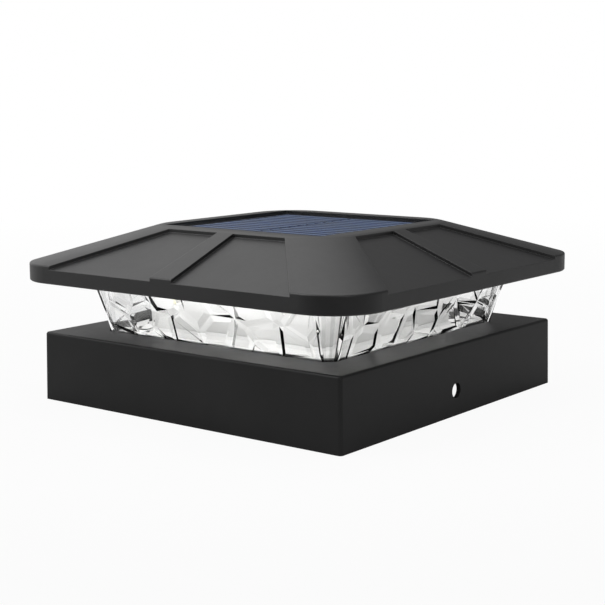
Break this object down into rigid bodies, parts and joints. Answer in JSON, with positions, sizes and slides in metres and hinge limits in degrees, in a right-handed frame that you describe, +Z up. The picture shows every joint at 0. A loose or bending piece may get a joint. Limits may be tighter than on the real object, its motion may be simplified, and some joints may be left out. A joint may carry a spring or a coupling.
{
  "type": "deck post cap light",
  "caption": "Low square solar cap light for a timber post: hipped roof with a flush panel, clear faceted lens band and an open skirt that sleeves the post end.",
  "frame": {"origin": "centre of the bounding box's bottom face, at the skirt's bottom edge on the post's axis", "axes": "+Z up the post's axis; +X and -X out through the two skirt screw holes; the battery lid's long side lies along X and the lid is on the -Y side of the switch"},
  "size_m": [0.166, 0.166, 0.0696],
  "materials": {
    "roof_black": "satin moulded black",
    "base_black": "satin moulded black",
    "clear_lens": "clear, faceted inside",
    "white_plastic": "white moulded",
    "seal_rubber": "soft black",
    "cell_blue": "dark blue solar cell",
    "panel_clear": "clear cast cover",
    "panel_black": "black laminate",
    "adhesive": "silicone bead",
    "board_green": "solder-masked board",
    "board_white": "white solder mask",
    "lamp_pale": "pale phosphor in a white lamp package",
    "screw_steel": "plated steel",
    "contact_nickel": "nickel plated spring strip",
    "cell_wrap": "plain shrink sleeve over steel can",
    "chip_black": "moulded chip",
    "can_aluminium": "drawn can",
    "core_grey": "ferrite",
    "wire_red": "insulated lead",
    "wire_black": "insulated lead",
    "switch_black": "moulded switch case",
    "knob_white": "moulded knob"
  },
  "bodies": {
    "housing": {"base_sleeve": "base_black", "lens_seal": "seal_rubber", "lens_ring": "clear_lens", "roof_seal": "seal_rubber", "roof_cover": "roof_black", "panel_adhesive": "adhesive", "panel_board": "panel_black", "solar_cells": "cell_blue", "panel_cover": "panel_clear", "inner_reflector": "white_plastic", "battery_holder": "white_plastic", "battery_cell": "cell_wrap", "contact_negative": "contact_nickel", "contact_positive": "contact_nickel", "housing_screws": "screw_steel", "board_screws": "screw_steel", "switch_body": "switch_black", "control_board": "board_green", "controller_chip": "chip_black", "capacitor": "can_aluminium", "inductor": "core_grey", "panel_lead_red": "wire_red", "panel_lead_black": "wire_black", "battery_lead_red": "wire_red", "battery_lead_black": "wire_black", "led_lead": "wire_red", "led_jumpers": "wire_black", "led_board_front": "board_white", "led_chips_front": "lamp_pale", "led_board_right": "board_white", "led_chips_right": "lamp_pale", "led_board_back": "board_white", "led_chips_back": "lamp_pale", "led_board_left": "board_white", "led_chips_left": "lamp_pale"},
    "switch": {"switch_slider": "knob_white"},
    "battery_cover": {"battery_lid": "base_black", "lid_seal": "seal_rubber", "lid_screws": "screw_steel"}
  },
  "joints": [
    {"name": "switch_slide", "type": "slide", "parent": "housing", "child": "switch", "axis": [1, 0, 0], "range_m": [0, 0.004]},
    {"name": "battery_cover_lift", "type": "slide", "parent": "housing", "child": "battery_cover", "axis": [0, 0, -1], "range_m": [0, 0.022]}
  ]
}
